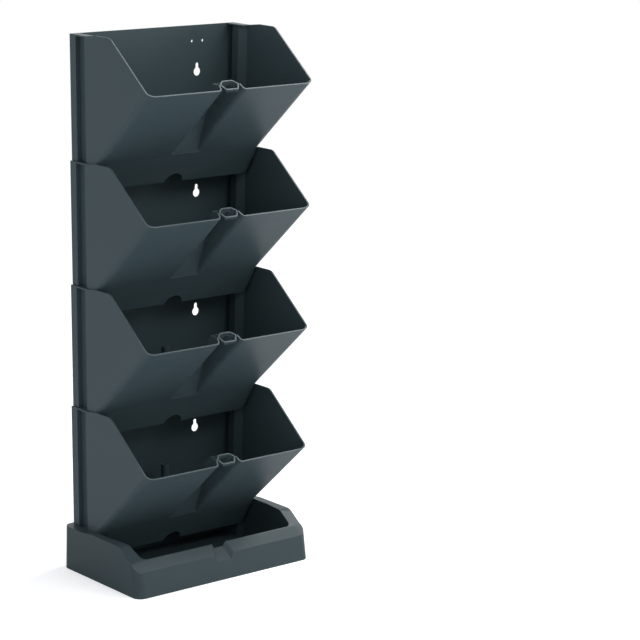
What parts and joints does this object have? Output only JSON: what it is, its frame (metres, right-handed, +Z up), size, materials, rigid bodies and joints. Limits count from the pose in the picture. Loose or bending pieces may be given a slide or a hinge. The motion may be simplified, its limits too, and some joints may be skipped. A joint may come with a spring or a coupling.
{
  "type": "vertical planter tower",
  "caption": "Vertical planter tower: stacked sloping pockets with overflow pipes, tool collars and keyholes, standing in a low water tray with a pouring notch.",
  "frame": {"origin": "on the floor, under the middle of the tower's bounding box", "axes": "+Z up, -Y towards the front with the sloping pockets, +Y towards the flat back, +X to the right seen from the front"},
  "size_m": [0.3254, 0.204, 0.8152],
  "materials": {
    "plastic": "matt anthracite polypropylene"
  },
  "bodies": {
    "tray": {"water_tray": "plastic"},
    "tier_1": {"planter_tier_1": "plastic"},
    "tier_2": {"planter_tier_2": "plastic"},
    "tier_3": {"planter_tier_3": "plastic"},
    "tier_4": {"planter_tier_4": "plastic"}
  },
  "joints": [
    {"name": "tier_1_lift", "type": "slide", "parent": "tray", "child": "tier_1", "axis": [0, 0, 1], "range_m": [0, 0.1]},
    {"name": "tier_2_lift", "type": "slide", "parent": "tier_1", "child": "tier_2", "axis": [0, 0, 1], "range_m": [0, 0.1]},
    {"name": "tier_3_lift", "type": "slide", "parent": "tier_2", "child": "tier_3", "axis": [0, 0, 1], "range_m": [0, 0.1]},
    {"name": "tier_4_lift", "type": "slide", "parent": "tier_3", "child": "tier_4", "axis": [0, 0, 1], "range_m": [0, 0.1]}
  ]
}
